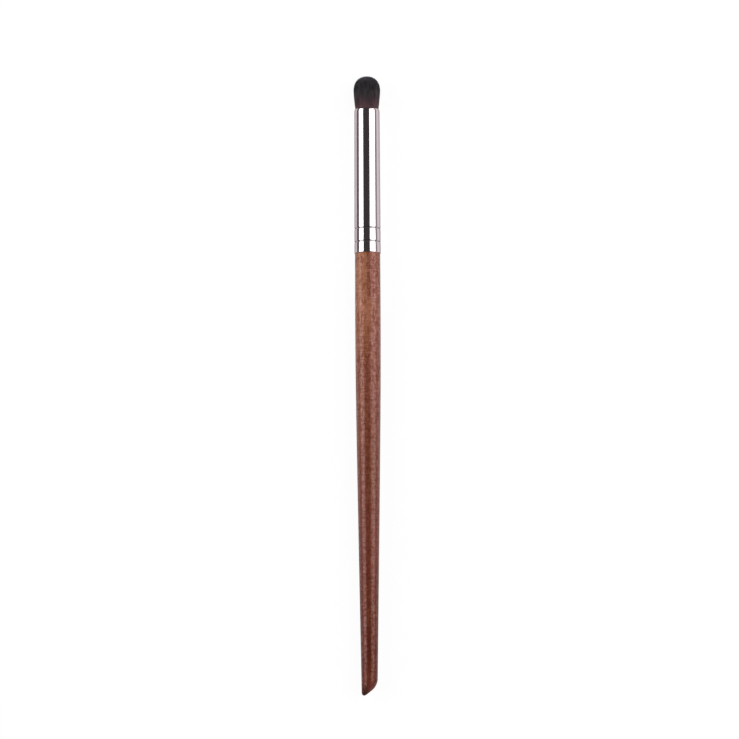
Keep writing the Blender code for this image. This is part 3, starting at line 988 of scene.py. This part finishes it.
slice_radius = tube_radius(SLICE_BOTTOM) - WALL - SLICE_CLEAR
slice_outline = [
    (slice_radius - SLICE_EDGE, SLICE_TOP),
    (slice_radius, SLICE_TOP - SLICE_EDGE),
    (slice_radius, SLICE_BOTTOM),
]
root_slice = turn_piece("root_slice", slice_outline)
choose(root_slice)
bpy.ops.object.mode_set(mode="EDIT")
close_ends()
finish_mesh()
tuft.select_set(True)
bpy.context.view_layer.objects.active = tuft
bpy.ops.object.join()
lay_on_line(tuft)
print("tuft with its slice:", len(tuft.data.polygons), "faces")

# %% [markdown]
# Dark hair looks soft because light slides along it. A hair shader would do that, but the mesh's
# own strands do it too, with a Principled shader and a broad highlight. The charcoal warms to a
# reddish brown near the ferrule, in uneven locks and thin wisps. The tips are painted a little
# paler: painted light, where light gets between them.

# %% Charcoal hair, browner at its roots
CHARCOAL = (0.030, 0.028, 0.033)
CHARCOAL_LIGHT = (0.100, 0.086, 0.094)
PAINTED_TIP_LIGHT = (0.198, 0.176, 0.217)
ROOT_BROWN = (0.192, 0.087, 0.104)

hair, shader, strand = new_material("charcoal_hair")
tone_read = strand.node("ShaderNodeAttribute", {"attribute_name": "tone"}, output="Fac")
height_read = strand.node("ShaderNodeAttribute", {"attribute_name": "height_above"}, output="Fac")
locks = noise(strand, (1500, 90, 1500), 2.0)
wisps = noise(strand, (2600, 330, 2600), 2.0, 0.6)
# Painted light: the tips are lighter, where light gets between them.
lit_tips = steps(strand, height_read, 0.6, 1.0)
light_share = tone_read * 0.3 + steps(strand, locks, 0.45, 0.7) * 0.4
light_share += steps(strand, wisps, 0.42, 0.66) * 0.6
light_share *= steps(strand, height_read, 0.15, 0.5) * 0.5 + 0.5
colour = mix_colours(strand, light_share, CHARCOAL, CHARCOAL_LIGHT)
colour = mix_colours(strand, lit_tips * 0.85, colour, PAINTED_TIP_LIGHT)
browner = 1 - steps(strand, height_read + locks * 0.9 + wisps * 0.3 - 0.6, 0.0, 0.5)
root_share = browner * (tone_read * 0.3 + steps(strand, wisps, 0.4, 0.62) * 0.4 + 0.5)
colour = mix_colours(strand, root_share, colour, ROOT_BROWN)
feed(shader, "Base Color", colour)
feed(shader, "Roughness", tone_read * 0.15 + 0.4)
shader.inputs["Specular IOR Level"].default_value = 0.25
give(tuft, hair)

# %% [markdown]
# ## What the ferrule hides
#
# Three CAD pieces keep their shapes and get better finishes. They could be made again, but nothing
# about them would change. The first is the amber resin that the roots are set in. The cut ends of
# the hairs show in it as dark dots, drawn out along the brush.

# %% Amber resin with the roots of the hairs in it
RESIN_LIGHT = (0.46, 0.27, 0.09)
RESIN_DEEP = (0.30, 0.16, 0.05)
SET_ROOTS = (0.05, 0.035, 0.03)

resin, shader, strand = new_material("root_resin")
roots = noise(strand, (9000, 300, 9000), 1.0)
cloud = noise(strand, (500, 300, 500), 3.0)
colour = mix_colours(strand, cloud, RESIN_LIGHT, RESIN_DEEP)
colour = mix_colours(strand, steps(strand, roots, 0.52, 0.62) * 0.8, colour, SET_ROOTS)
feed(shader, "Base Color", colour)
feed(shader, "Roughness", cloud * 0.3 + 0.15)
add_bump(shader, cloud, strength=0.2, distance=0.00003)
give(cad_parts["root_plug"], resin)

# %% [markdown]
# The cotton thread is wound round the roots. Its plies could be modelled, but they are less than a
# quarter of a millimetre wide, so a slanted sine wave stands for them.

# %% Twisted cotton thread
PLIES_AROUND = 90
PLIES_ALONG = 26000
COTTON_SHADE = (0.42, 0.37, 0.28)
COTTON_LIGHT = (0.70, 0.66, 0.56)
COTTON_FUZZ = (0.82, 0.79, 0.71)

cotton, shader, strand = new_material("cotton_thread")
across, along, up = axes_of(strand)
around = strand.maths("ARCTAN2", across, up - seam.z)
turns = around * PLIES_AROUND + along * PLIES_ALONG
plies = strand.node("ShaderNodeMath", {"operation": "SINE"}, {0: turns})
fuzz = noise(strand, (6000, 6000, 6000), 2.0)
colour = mix_colours(strand, plies * 0.5 + 0.5, COTTON_SHADE, COTTON_LIGHT)
colour = mix_colours(strand, steps(strand, fuzz, 0.55, 0.8) * 0.4, colour, COTTON_FUZZ)
feed(shader, "Base Color", colour)
feed(shader, "Roughness", fuzz * 0.2 + 0.75)
add_bump(shader, plies + fuzz * 0.5, strength=0.6, distance=0.00004)
give(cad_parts["root_binding"], cotton)

# %% [markdown]
# The film of glue round the tenon dries uneven, with smears and a few small bubbles. A plain cream
# colour would read as paint.

# %% A film of cured glue
GLUE_LIGHT = (0.66, 0.58, 0.42)
GLUE_DEEP = (0.50, 0.42, 0.27)
GLUE_BUBBLE = (0.78, 0.73, 0.60)

glue, shader, strand = new_material("cured_glue")
smear = noise(strand, (900, 350, 900), 3.0)
bubbles = noise(strand, (5200, 5200, 5200), 0.0)
colour = mix_colours(strand, smear, GLUE_LIGHT, GLUE_DEEP)
colour = mix_colours(strand, steps(strand, bubbles, 0.68, 0.74) * 0.6, colour, GLUE_BUBBLE)
feed(shader, "Base Color", colour)
feed(shader, "Roughness", smear * 0.35 + 0.3)
add_bump(shader, smear + bubbles * 0.3, strength=0.3, distance=0.00004)
give(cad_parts["tenon_glue"], glue)

# %% [markdown]
# ## The new pieces on the brush's body
#
# The three new pieces ride on the brush's one body and stand for the CAD pieces that they are drawn
# over.

# %% Tie the new pieces to the frame
for piece, node, slot in (
    (handle, "handle", "lacquered_wood"),
    (ferrule, "ferrule", "nickel_plate"),
    (tuft, "bristle_tuft", "hair"),
):
    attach(piece, "root")
    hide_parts(node)
